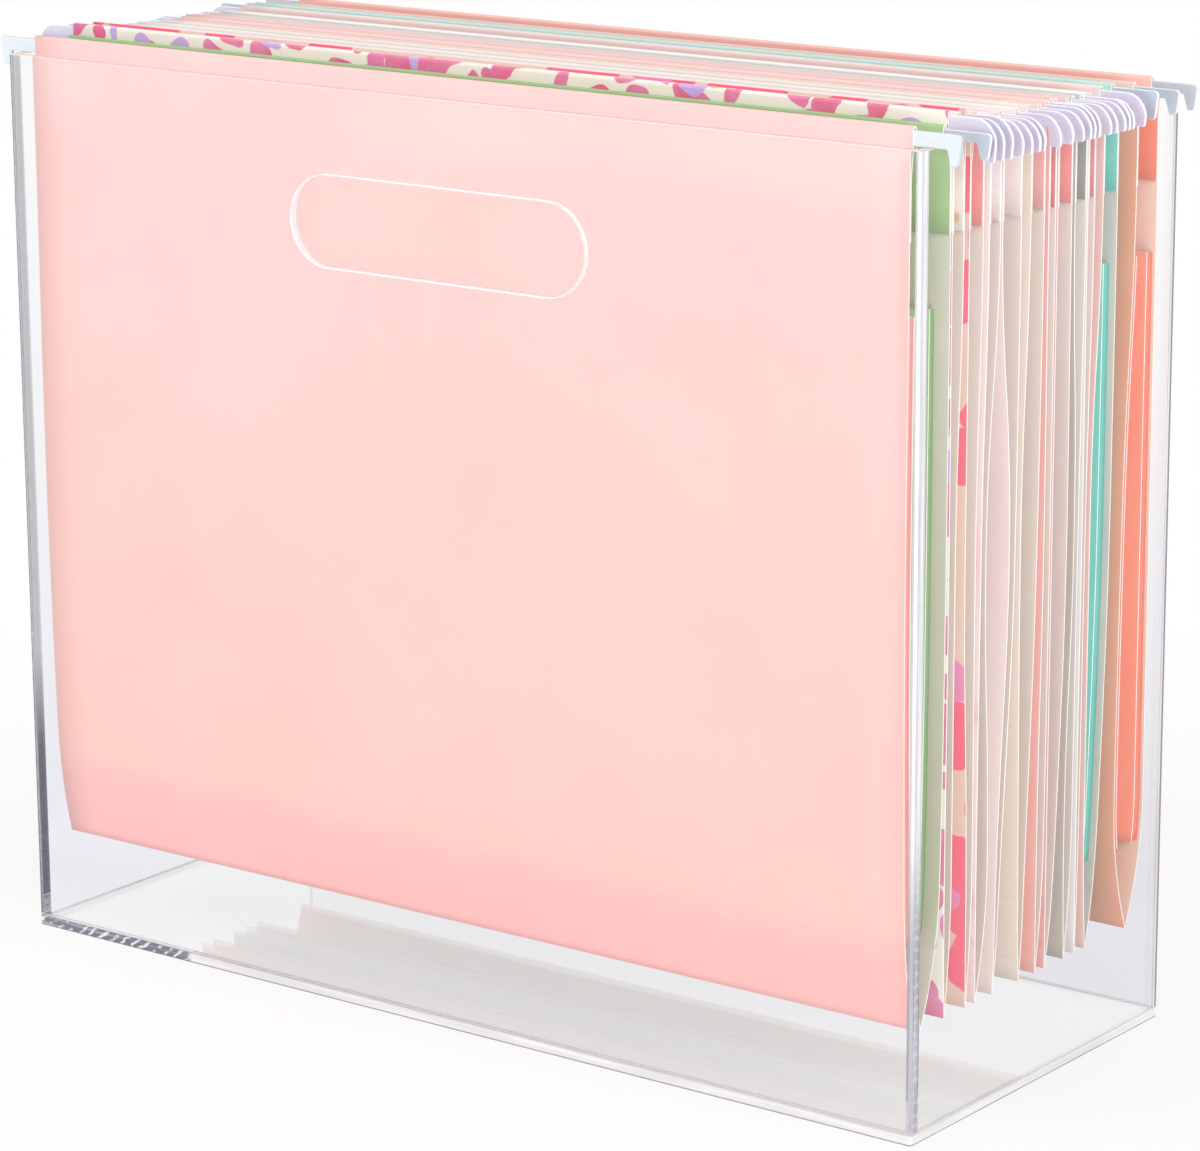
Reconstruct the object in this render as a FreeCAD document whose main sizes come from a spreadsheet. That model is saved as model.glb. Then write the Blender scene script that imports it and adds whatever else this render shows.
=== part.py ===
# Hanging file box: a clear open box of welded sheets whose side walls carry twelve hanging folders.
# X runs along the folders, the front faces -Y, Z is up, and the origin is under the middle of the base.
# Each folder is one folded card hung on two flat steel rods whose hooks reach over the side walls.
import FreeCAD, Part
import math
import os
from collections import namedtuple

import Sketcher

Vector = FreeCAD.Vector
UP = Vector(0, 0, 1)

# Driving dimensions in millimetres
SIZES = (
    # the clear box
    ("box_length", 312.0),
    ("box_depth", 126.0),
    ("box_height", 262.0),
    ("wall", 3.0),
    ("base_thickness", 3.0),
    ("corner_radius", 1.0),
    ("slot_length", 101.0),
    ("slot_height", 25.4),
    ("slot_below_rim", 37.0),
    # the folded cards: side clearance to the walls, fold clearance to the base, hem strip and its taper
    ("card_thickness", 0.4),
    ("card_clearance", 3.0),
    ("fold_clearance", 25.5),
    ("hem_below_rim", 24.2),
    ("hem_taper", 8.0),
    # how far the inside of a hem stands above the rod in it
    ("hem_arch", 0.7),
    # the rods: thickness of the strip, play between a wall and a leg, width of a leg
    ("rod_thickness", 1.0),
    ("leg_play", 3.7),
    ("leg_width", 4.3),
    # square hooks: bar above the rim, leg below it, cut shoulder, drawn-in toe and lip
    ("square_bar", 3.0),
    ("square_leg", 4.2),
    ("square_shoulder_in", 0.8),
    ("square_shoulder_down", 0.8),
    ("square_shoulder_radius", 1.0),
    ("square_toe", 0.9),
    ("square_lip", 1.3),
    ("square_toe_radius", 1.2),
    # round hooks: the same sizes, with a wide rounded shoulder
    ("round_bar", 3.0),
    ("round_leg", 5.2),
    ("round_shoulder_in", 3.4),
    ("round_shoulder_down", 4.4),
    ("round_shoulder_radius", 5.6),
    ("round_toe", 0.5),
    ("round_lip", 0.9),
    ("round_toe_radius", 0.7),
    # the pockets glued inside three of the folders
    ("pocket_below_rim", 43.5),
    ("pocket_above_fold", 24.0),
    # rail left free behind the last folder
    ("rear_gap", 0.35),
)

# One row for each folder, front to back, in millimetres along Y as the folders hang in the box.
# gap is the free rail in front of the folder, and mouth the way between its two hems.
# belly and low say how far a leaf's outer face stands inside its hem's outer face half way down
# and near the bottom, and fold is the same for the front side of the fold, from the front hem.
# rise is how much taller a rod's bar is than its hook's usual bar.
Folder = namedtuple(
    "Folder",
    "gap mouth front_belly front_low back_belly back_low fold"
    " front_hook front_rise back_hook back_rise",
)
FOLDERS = (
    Folder(2.0, 11.8, -0.4, 0.7, 0.15, 1.4, 5.2, "square", 1.0, "square", -0.4),
    Folder(0.5, 2.2, 0.3, 0.05, 2.1, 2.1, 0.6, "round", 2.8, "round", 2.2),
    Folder(2.2, 3.3, 0.0, 2.5, 1.6, 1.2, 2.9, "round", 2.3, "round", 0.8),
    Folder(2.6, 2.0, -1.8, -2.1, 4.7, 1.9, -1.9, "round", 0.2, "round", 0.1),
    Folder(0.6, 5.8, 5.7, 1.7, 0.5, 5.3, 0.4, "round", 0.2, "round", -0.1),
    Folder(4.2, 3.4, -2.4, -1.2, 0.8, 4.1, 0.0, "round", -0.1, "round", -0.4),
    Folder(1.8, 0.2, 0.4, -0.6, 0.0, 0.5, -0.5, "round", 0.0, "round", 0.3),
    Folder(0.6, 3.8, 0.0, 0.0, -0.6, 2.5, 0.05, "round", 0.1, "round", -0.5),
    Folder(1.2, 2.4, 2.7, 0.4, 0.9, 1.3, 1.3, "round", -0.4, "round", -0.6),
    Folder(0.5, 0.2, 0.3, 0.2, 1.5, 1.9, 0.4, "round", -0.2, "round", -0.5),
    Folder(3.9, 4.1, -3.4, -3.3, 0.4, 3.6, -1.8, "round", 0.5, "square", 0.6),
    Folder(9.4, 7.75, -3.6, -4.6, 0.15, 0.15, 2.7, "square", -0.5, "square", -0.1),
)

# Heights of a leaf's two shaping points, as shares of the way from the rim down to the fold
BELLY_SHARE = 0.48
LOW_SHARE = 0.84

# One row for each pocket: how deep it stands off its leaf, and how far its ends stay inside the card
Pocket = namedtuple("Pocket", "folder side depth end_margin")
POCKETS = (
    Pocket(1, "front", 3.0, 0.3),
    Pocket(1, "back", 2.9, 4.2),
    Pocket(11, "back", 3.8, 1.6),
    Pocket(12, "front", 2.0, 0.5),
    Pocket(12, "back", 3.8, 0.5),
)

# Inward direction along Y of a folder's two leaves
INWARD = {"front": 1, "back": -1}

doc = FreeCAD.newDocument("HangingFileBox")
sheet = doc.addObject("Spreadsheet::Sheet", "Sizes")
for row, (alias, value) in enumerate(SIZES, start=1):
    sheet.set(f"A{row}", alias)
    sheet.set(f"B{row}", str(value))
    sheet.setAlias(f"B{row}", alias)
doc.recompute()

parts = []


def size(alias):
    return float(sheet.get(alias))


def origin_plane(body, role):
    return next(item for item in body.Origin.OriginFeatures if item.Role == role)


def new_sketch(body, name, role):
    sketch = body.newObject("Sketcher::SketchObject", name)
    sketch.AttachmentSupport = (origin_plane(body, role), "")
    sketch.MapMode = "FlatFace"
    return sketch


def bind(sketch, kind, point, expression, start=1.0):
    """Hold one coordinate of a sketch point at a distance from the origin given by the sheet."""
    number = sketch.addConstraint(Sketcher.Constraint(kind, -1, 1, *point, start))
    sketch.setExpression(f"Constraints[{number}]", expression)


def add_polygon(sketch, corners):
    """Close a polygon whose corners are pairs of sheet expressions."""
    count = len(corners)
    turn = FreeCAD.Rotation(UP, 360.0 / count)
    start = Vector(1, 0, 0)
    first = sketch.GeometryCount
    for number in range(count):
        end = turn.multVec(start)
        sketch.addGeometry(Part.LineSegment(start, end))
        start = end
    for number, (across, upward) in enumerate(corners):
        line = first + number
        previous = first + (number - 1) % count
        sketch.addConstraint(Sketcher.Constraint("Coincident", previous, 2, line, 1))
        bind(sketch, "DistanceX", (line, 1), across)
        bind(sketch, "DistanceY", (line, 1), upward)


def add_pad(body, sketch, length):
    pad = body.newObject("PartDesign::Pad", "Pad")
    pad.Profile = sketch
    pad.SideType = "Symmetric"
    pad.setExpression("Length", length)
    sketch.Visibility = False
    doc.recompute()
    return pad


def add_fillet(body, base, spots, direction, radius):
    """Round the edges of base that run along direction through one of the spots."""
    names = []
    for number, edge in enumerate(base.Shape.Edges, start=1):
        run = edge.lastVertex().Point - edge.firstVertex().Point
        if run.Length < 1e-6 or run.cross(direction).Length > 1e-6:
            continue
        for spot in spots:
            gap = edge.firstVertex().Point - spot
            if gap.cross(direction).Length < 1e-4:
                names.append(f"Edge{number}")
    fillet = body.newObject("PartDesign::Fillet", "Fillet")
    fillet.Base = (base, names)
    fillet.setExpression("Radius", radius)
    doc.recompute()
    return fillet


def new_body(label):
    body = doc.addObject("PartDesign::Body", label)
    body.Label = label
    parts.append(body)
    return body


def add_feature(label, shape):
    feature = doc.addObject("Part::Feature", label)
    feature.Label = label
    feature.Shape = shape
    feature.Placement = FreeCAD.Placement()
    parts.append(feature)


# The clear box

HALF_LENGTH = "Sizes.box_length / 2"
HALF_DEPTH = "Sizes.box_depth / 2"
CORNER_SIGNS = ((-1, -1), (1, -1), (1, 1), (-1, 1))


def rectangle(half_width, low, high):
    return ((f"-({half_width})", low), (half_width, low), (half_width, high), (f"-({half_width})", high))


def base_panel():
    """The base sheet, which all four walls stand on."""
    body = new_body("box_base")
    sketch = new_sketch(body, "BaseOutline", "XY_Plane")
    add_polygon(sketch, rectangle(HALF_LENGTH, f"-({HALF_DEPTH})", HALF_DEPTH))
    pad = add_pad(body, sketch, "Sizes.base_thickness")
    x = size("box_length") / 2
    y = size("box_depth") / 2
    spots = [Vector(across * x, along * y, 0) for across, along in CORNER_SIGNS]
    add_fillet(body, pad, spots, UP, "Sizes.corner_radius")
    body.setExpression("Placement.Base.z", "Sizes.base_thickness / 2")


def slotted_panel(label, side):
    """A front or back sheet with its hand slot. side is -1 for the front and 1 for the back."""
    body = new_body(label)
    sketch = new_sketch(body, "PanelOutline", "XZ_Plane")
    add_polygon(sketch, rectangle(HALF_LENGTH, "Sizes.base_thickness", "Sizes.box_height"))
    pad = add_pad(body, sketch, "Sizes.wall")
    solid_volume = pad.Shape.Volume

    slot = new_sketch(body, "HandSlot", "XZ_Plane")
    add_slot(slot)
    cut = body.newObject("PartDesign::Pocket", "SlotCut")
    cut.Profile = slot
    cut.Type = "ThroughAll"
    cut.SideType = "Symmetric"
    slot.Visibility = False
    doc.recompute()
    if cut.Shape.Volume >= solid_volume:
        raise RuntimeError(f"{label}: the hand slot cut nothing")

    x = size("box_length") / 2
    y = side * size("wall") / 2
    spots = [Vector(across * x, y, 0) for across in (-1, 1)]
    add_fillet(body, cut, spots, UP, "Sizes.corner_radius")
    body.setExpression("Placement.Base.y", f"{side} * (Sizes.box_depth - Sizes.wall) / 2")


def add_slot(sketch):
    """A long hole with round ends, centred below the rim."""
    reach = (size("slot_length") - size("slot_height")) / 2
    radius = size("slot_height") / 2
    height = size("box_height") - size("slot_below_rim")
    right = Part.Circle(Vector(reach, height, 0), UP, radius)
    left = Part.Circle(Vector(-reach, height, 0), UP, radius)
    quarter = math.pi / 2
    sketch.addGeometry(Part.ArcOfCircle(right, -quarter, quarter))
    sketch.addGeometry(Part.ArcOfCircle(left, quarter, 3 * quarter))
    top = height + radius
    bottom = height - radius
    sketch.addGeometry(Part.LineSegment(Vector(reach, top, 0), Vector(-reach, top, 0)))
    sketch.addGeometry(Part.LineSegment(Vector(-reach, bottom, 0), Vector(reach, bottom, 0)))
    sketch.addConstraint(Sketcher.Constraint("Tangent", 0, 2, 2, 1))
    sketch.addConstraint(Sketcher.Constraint("Tangent", 2, 2, 1, 1))
    sketch.addConstraint(Sketcher.Constraint("Tangent", 1, 2, 3, 1))
    sketch.addConstraint(Sketcher.Constraint("Tangent", 3, 2, 0, 1))
    sketch.addConstraint(Sketcher.Constraint("Horizontal", 2))
    sketch.addConstraint(Sketcher.Constraint("Equal", 0, 1))
    bind(sketch, "DistanceX", (0, 3), "(Sizes.slot_length - Sizes.slot_height) / 2", reach)
    bind(sketch, "DistanceX", (1, 3), "-(Sizes.slot_length - Sizes.slot_height) / 2", -reach)
    bind(sketch, "DistanceY", (0, 3), "Sizes.box_height - Sizes.slot_below_rim", height)
    number = sketch.addConstraint(Sketcher.Constraint("Radius", 0, radius))
    sketch.setExpression(f"Constraints[{number}]", "Sizes.slot_height / 2")


def side_wall(label, side):
    """A plain end sheet between the front and back sheets. side is -1 for the left."""
    wall = doc.addObject("Part::Box", label)
    wall.Label = label
    wall.setExpression("Length", "Sizes.wall")
    wall.setExpression("Width", "Sizes.box_depth - 2 * Sizes.wall")
    wall.setExpression("Height", "Sizes.box_height - Sizes.base_thickness")
    wall.setExpression("Placement.Base.x", f"{side} * ({HALF_LENGTH} - Sizes.wall / 2) - Sizes.wall / 2")
    wall.setExpression("Placement.Base.y", f"Sizes.wall - {HALF_DEPTH}")
    wall.setExpression("Placement.Base.z", "Sizes.base_thickness")
    parts.append(wall)


# The hanging rods

def hooked_rod(label, style, rise, y):
    """A flat strip that rests on both rims, with a leg at each end outside the wall."""
    body = new_body(label)
    end = f"{HALF_LENGTH} + Sizes.leg_play + Sizes.leg_width"
    notch = f"{HALF_LENGTH} + Sizes.leg_play"
    top = f"Sizes.box_height + Sizes.{style}_bar + ({rise})"
    foot = f"Sizes.box_height - Sizes.{style}_leg"
    half = (
        (f"{end} - Sizes.{style}_shoulder_in", top),
        (end, f"{top} - Sizes.{style}_shoulder_down"),
        (f"{end} - Sizes.{style}_toe", foot),
        (f"{notch} + Sizes.{style}_lip", foot),
        (notch, "Sizes.box_height"),
    )
    mirrored = tuple((f"-({across})", upward) for across, upward in reversed(half))
    sketch = new_sketch(body, "RodOutline", "XZ_Plane")
    add_polygon(sketch, half + mirrored)
    pad = add_pad(body, sketch, "Sizes.rod_thickness")

    def spots(number):
        """Both mirrored places of one corner of the outline."""
        point = sketch.getPoint(number, 1)
        return [Vector(point.x, 0, point.y), Vector(-point.x, 0, point.y)]

    along = Vector(0, 1, 0)
    rounded = add_fillet(body, pad, spots(0) + spots(1), along, f"Sizes.{style}_shoulder_radius")
    add_fillet(body, rounded, spots(2), along, f"Sizes.{style}_toe_radius")
    body.Placement.Base = Vector(0, y, 0)


# The folded cards

def hem_thickness():
    return size("rod_thickness") + 2 * size("card_thickness")


def rail_scale():
    """Share out the free rail: the rows' ways grow and shrink with the depth that is left for them."""
    drawn = sum(row.gap + row.mouth for row in FOLDERS) + size("rear_gap")
    free = size("box_depth") - 2 * size("wall") - 2 * len(FOLDERS) * hem_thickness()
    return free / drawn


def hang_folders():
    """Give each folder the outer Y of its two hems, from the front wall to the back."""
    scale = rail_scale()
    y = size("wall") - size("box_depth") / 2
    places = []
    for row in FOLDERS:
        front = y + scale * row.gap
        back = front + 2 * hem_thickness() + scale * row.mouth
        places.append({"front": front, "back": back})
        y = back
    return places


def profile_point(place, side, inside, z):
    """A point in the YZ plane, a distance inside one hem's outer face."""
    return Vector(0, place[side] + INWARD[side] * inside, z)


def fold_z():
    return size("base_thickness") + size("fold_clearance")


def blend_slope(above, below):
    """The slope where two stretches meet, chosen so that neither swings past its end points."""
    if above * below <= 0:
        return 0.0
    return 2 * above * below / (above + below)


def bent_edge(start, tangent, end):
    """The arc that leaves start along tangent and ends at end, or a line where the two are in line."""
    chord = end - start
    turn = tangent.getAngle(chord)
    if turn < 1e-4:
        return Part.makeLine(start, end)
    sideways = (tangent - chord * (tangent.dot(chord) / chord.dot(chord))).normalize()
    middle = (start + end) / 2 + sideways * (chord.Length / 2 * math.tan(turn / 2))
    return Part.Arc(start, middle, end).toShape()


def arc_pair(start, first_tangent, end, last_tangent):
    """Two arcs, tangent where they meet, that carry one direction over into another."""
    chord = end - start
    both = first_tangent + last_tangent
    spread = 2 * (1 - first_tangent.dot(last_tangent))
    along = chord.dot(both)
    if spread < 1e-9:
        reach = chord.dot(chord) / (2 * along)
    else:
        reach = (math.sqrt(along**2 + spread * chord.dot(chord)) - along) / spread
    meeting = (start + end + (first_tangent - last_tangent) * reach) / 2
    shared = (meeting - start) * (1 / (meeting - start).Length)
    shared = shared * (2 * shared.dot(first_tangent)) - first_tangent
    return [bent_edge(start, first_tangent, meeting), bent_edge(meeting, shared, end)]


def leaf_profile(row, place, side):
    """The outer face of one leaf, from the foot of its hem down to the fold, as pairs of arcs."""
    rim = size("box_height")
    drop = rim - fold_z()
    scale = rail_scale()
    belly, low = (
        (row.front_belly, row.front_low) if side == "front" else (row.back_belly, row.back_low)
    )
    fold = scale * row.fold
    if side == "back":
        fold = place["back"] - place["front"] - fold - size("card_thickness")
    heights = (
        rim - size("hem_below_rim"),
        rim - BELLY_SHARE * drop,
        rim - LOW_SHARE * drop,
        fold_z(),
    )
    insides = (0, scale * belly, scale * low, fold)
    chords = [
        (insides[n + 1] - insides[n]) / (heights[n + 1] - heights[n]) for n in range(3)
    ]
    slopes = (0, blend_slope(chords[0], chords[1]), blend_slope(chords[1], chords[2]), 2 * chords[2])
    points = [profile_point(place, side, insides[n], heights[n]) for n in range(4)]
    tangents = [Vector(0, -INWARD[side] * slope, -1).normalize() for slope in slopes]
    edges = []
    for n in range(3):
        edges += arc_pair(points[n], tangents[n], points[n + 1], tangents[n + 1])
    return Part.Wire(edges)


def slab(profile, side, near, far, half_length):
    """The space between two copies of a leaf's outer face, moved in by near and by far."""
    first = profile.translated(Vector(-half_length, INWARD[side] * near, 0))
    second = profile.translated(Vector(-half_length, INWARD[side] * far, 0))
    ends = [(wire.OrderedVertexes[0].Point, wire.OrderedVertexes[-1].Point) for wire in (first, second)]
    top = Part.makeLine(ends[0][0], ends[1][0])
    bottom = Part.makeLine(ends[0][1], ends[1][1])
    edges = Part.sortEdges(first.Edges + [bottom] + second.Edges + [top])[0]
    return Part.Face(Part.Wire(edges)).extrude(Vector(2 * half_length, 0, 0))


def hem(place, side, bar, half_length):
    """The top of a leaf: it goes over the rod and down the inside, where its strip is glued."""
    card = size("card_thickness")
    thick = hem_thickness()
    rim = size("box_height")
    strip_foot = rim - size("hem_below_rim")
    taper_foot = rim - size("hem_taper")
    inner_radius = thick / 2 - card
    crown = rim + bar + size("hem_arch") - inner_radius

    def at(inside, z):
        return profile_point(place, side, inside, z)

    outline = [
        Part.makeLine(at(0, strip_foot), at(0, crown)),
        Part.Arc(at(0, crown), at(thick / 2, crown + thick / 2), at(thick, crown)).toShape(),
        Part.makeLine(at(thick, crown), at(thick, rim)),
        Part.makeLine(at(thick, rim), at(2 * card, taper_foot)),
        Part.makeLine(at(2 * card, taper_foot), at(2 * card, strip_foot)),
        Part.makeLine(at(2 * card, strip_foot), at(0, strip_foot)),
    ]
    rod_space = Part.makePolygon([
        at(card, crown),
        at(thick / 2, crown + inner_radius),
        at(thick - card, crown),
        at(thick - card, rim),
        at(card, taper_foot),
        at(card, crown),
    ])
    across = Vector(2 * half_length, 0, 0)
    solid = Part.Face(Part.Wire(outline)).extrude(across)
    solid = solid.cut(Part.Face(rod_space).extrude(across))
    return solid.translated(Vector(-half_length, 0, 0))


def card_half_length():
    return size("box_length") / 2 - size("wall") - size("card_clearance")


def folded_card(label, row, place):
    """One sheet of card, folded at the bottom and hemmed round a rod at the top of each leaf."""
    half = card_half_length()
    card = size("card_thickness")
    bars = {
        "front": size(f"{row.front_hook}_bar") + row.front_rise,
        "back": size(f"{row.back_hook}_bar") + row.back_rise,
    }
    pieces = []
    for side in ("front", "back"):
        pieces.append(slab(leaf_profile(row, place, side), side, 0, card, half))
        pieces.append(hem(place, side, bars[side], half))
    add_feature(label, pieces[0].multiFuse(pieces[1:]).removeSplitter())


def glued_pocket(label, pocket, row, place):
    """A shallow pocket on the inside of a leaf: a panel with closed ends and foot, open at the top."""
    card = size("card_thickness")
    half = card_half_length() - pocket.end_margin
    low = fold_z() + size("pocket_above_fold")
    high = size("box_height") - size("pocket_below_rim")
    profile = leaf_profile(row, place, pocket.side)
    depth = size("box_depth")

    def band(bottom, top, half_length):
        corner = Vector(-half_length, -depth, bottom)
        return Part.makeBox(2 * half_length, 2 * depth, top - bottom, corner)

    outside = slab(profile, pocket.side, card, card + pocket.depth, half).common(band(low, high, half))
    inner_half = half - card
    inside = slab(profile, pocket.side, 0, pocket.depth, inner_half)
    inside = inside.common(band(low + card, high + card, inner_half))
    add_feature(label, outside.cut(inside))


# Build every piece

base_panel()
slotted_panel("box_front_panel", -1)
slotted_panel("box_back_panel", 1)
side_wall("box_left_wall", -1)
side_wall("box_right_wall", 1)

places = hang_folders()
for number, (row, place) in enumerate(zip(FOLDERS, places), start=1):
    name = f"folder_{number:02d}"
    middle = hem_thickness() / 2
    folded_card(f"{name}_card", row, place)
    hooked_rod(f"{name}_front_rod", row.front_hook, row.front_rise, place["front"] + middle)
    hooked_rod(f"{name}_back_rod", row.back_hook, row.back_rise, place["back"] - middle)
for pocket in POCKETS:
    row = FOLDERS[pocket.folder - 1]
    place = places[pocket.folder - 1]
    glued_pocket(f"folder_{pocket.folder:02d}_{pocket.side}_pocket", pocket, row, place)
doc.recompute()

# Check every object, then write one file for each piece

for item in doc.Objects:
    if "Invalid" in item.State or "Error" in item.State:
        raise RuntimeError(f"{item.Label} failed: {item.State}")
for part in parts:
    if part.Shape.isNull() or not part.Shape.isValid():
        raise RuntimeError(f"{part.Label} has no valid shape")
    if len(part.Shape.Solids) != 1:
        raise RuntimeError(f"{part.Label} is not one solid")

os.makedirs("parts", exist_ok=True)
for part in parts:
    part.Shape.exportStep(f"parts/{part.Label}.step")
print(f"{len(parts)} pieces written")
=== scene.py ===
"""Looks for the hanging file box: clear welded sheet, twelve hemmed cards and their hooked rods.

X runs along the folders, the front faces -Y and Z is up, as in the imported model. Sizes and places are in
millimetres, which MM turns into metres, except in the materials and for the lamps, which are in metres.
"""
import math
from collections import namedtuple

import bmesh
import bpy
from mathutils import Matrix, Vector


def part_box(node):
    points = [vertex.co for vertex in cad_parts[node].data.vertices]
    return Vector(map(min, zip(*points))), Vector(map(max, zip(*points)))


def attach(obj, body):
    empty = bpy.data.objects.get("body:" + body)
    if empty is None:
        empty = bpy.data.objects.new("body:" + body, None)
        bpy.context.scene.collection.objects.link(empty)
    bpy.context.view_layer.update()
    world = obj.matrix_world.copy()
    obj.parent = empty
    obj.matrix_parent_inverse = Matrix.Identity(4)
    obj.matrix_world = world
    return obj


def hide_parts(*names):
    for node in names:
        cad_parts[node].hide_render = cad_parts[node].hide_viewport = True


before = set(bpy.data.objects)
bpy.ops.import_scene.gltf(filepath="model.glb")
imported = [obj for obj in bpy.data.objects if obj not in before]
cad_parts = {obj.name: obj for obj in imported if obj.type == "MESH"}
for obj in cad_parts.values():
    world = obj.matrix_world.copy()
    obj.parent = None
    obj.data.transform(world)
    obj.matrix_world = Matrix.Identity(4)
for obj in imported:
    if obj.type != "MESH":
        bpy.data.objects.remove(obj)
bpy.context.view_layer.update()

MM = 0.001

# The photograph's camera, solved from the box's corners: place in mm, turn in degrees
CAMERA_PLACE = (779.2, -1019.3, 442.2)
CAMERA_TURN = (75.815, 0.327, 37.038)
FOCAL_PIXELS = 4647.4
PHOTO_WIDTH = 1200
SENSOR = 36.0

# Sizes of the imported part
BOX_LENGTH = 312.0
BOX_DEPTH = 126.0
RIM = 262.0
WALL = 3.0
SLOT_LENGTH = 101.0
SLOT_HEIGHT = 25.4
SLOT_BELOW_RIM = 37.0
CARD = 0.4
CARD_HALF = 150.0
FOLD_Z = 28.5
HEM_FOOT = 237.8
HEM_TAPER = 8.0
HEM_ARCH = 0.7
ROD = 1.0
HEM = ROD + 2 * CARD
REAR_GAP = 0.35
# How far down a leaf its belly and its low point lie, as shares of the way from the rim to the fold
BELLY_SHARE = 0.48
LOW_SHARE = 0.84
POCKET_FOOT = FOLD_Z + 24.0
POCKET_TOP = RIM - 43.5

# The gap, mouth, leaf shape, hooks and extra bar heights of each folder from front to back, as in the
# part's table
Folder = namedtuple(
    "Folder",
    "gap mouth front_belly front_low back_belly back_low fold"
    " front_hook front_rise back_hook back_rise",
)
FOLDERS = (
    Folder(2.0, 11.8, -0.4, 0.7, 0.15, 1.4, 5.2, "square", 1.0, "square", -0.4),
    Folder(0.5, 2.2, 0.3, 0.05, 2.1, 2.1, 0.6, "round", 2.8, "round", 2.2),
    Folder(2.2, 3.3, 0.0, 2.5, 1.6, 1.2, 2.9, "round", 2.3, "round", 0.8),
    Folder(2.6, 2.0, -1.8, -2.1, 4.7, 1.9, -1.9, "round", 0.2, "round", 0.1),
    Folder(0.6, 5.8, 5.7, 1.7, 0.5, 5.3, 0.4, "round", 0.2, "round", -0.1),
    Folder(4.2, 3.4, -2.4, -1.2, 0.8, 4.1, 0.0, "round", -0.1, "round", -0.4),
    Folder(1.8, 0.2, 0.4, -0.6, 0.0, 0.5, -0.5, "round", 0.0, "round", 0.3),
    Folder(0.6, 3.8, 0.0, 0.0, -0.6, 2.5, 0.05, "round", 0.1, "round", -0.5),
    Folder(1.2, 2.4, 2.7, 0.4, 0.9, 1.3, 1.3, "round", -0.4, "round", -0.6),
    Folder(0.5, 0.2, 0.3, 0.2, 1.5, 1.9, 0.4, "round", -0.2, "round", -0.5),
    Folder(3.9, 4.1, -3.4, -3.3, 0.4, 3.6, -1.8, "round", 0.5, "square", 0.6),
    Folder(9.4, 7.75, -3.6, -4.6, 0.15, 0.15, 2.7, "square", -0.5, "square", -0.1),
)
Pocket = namedtuple("Pocket", "folder side depth end_margin slot")
POCKETS = (
    Pocket(1, "front", 3.0, 0.3, "pocket_salmon"),
    Pocket(1, "back", 2.9, 4.2, "pocket_green"),
    Pocket(11, "back", 3.8, 1.6, "pocket_teal"),
    Pocket(12, "front", 2.0, 0.5, "pocket_coral"),
    Pocket(12, "back", 3.8, 0.5, "pocket_coral"),
)
INWARD = {"front": 1, "back": -1}

# Hooks: bar above the rim, leg below it, shoulder and its radius, toe, lip and toe radius
Hook = namedtuple("Hook", "bar leg shoulder_in shoulder_down shoulder_radius toe lip toe_radius")
HOOKS = {
    "square": Hook(3.0, 4.2, 0.8, 0.8, 1.0, 0.9, 1.3, 1.2),
    "round": Hook(3.0, 5.2, 3.4, 4.4, 5.6, 0.5, 0.9, 0.7),
}
# How far outside the box a hook's leg stands, and how wide it is
LEG_PLAY = 3.7
LEG_WIDTH = 4.3


def hook_and_bar(number, side):
    """The hook of one of a folder's rods, and the height of its bar above the rim."""
    row = FOLDERS[number - 1]
    name, rise = (row.front_hook, row.front_rise) if side == "front" else (row.back_hook, row.back_rise)
    return HOOKS[name], HOOKS[name].bar + rise


# Colours and node materials

def rgb(red, green, blue):
    """A colour as it is seen on a screen, 0 to 255, for a shader."""
    def straight(value):
        value /= 255
        return value / 12.92 if value <= 0.04045 else ((value + 0.055) / 1.055) ** 2.4
    return (straight(red), straight(green), straight(blue), 1.0)


# The UV map of a piece's unfolded sheet
SHEET_MAP = "Sheet"


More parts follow.
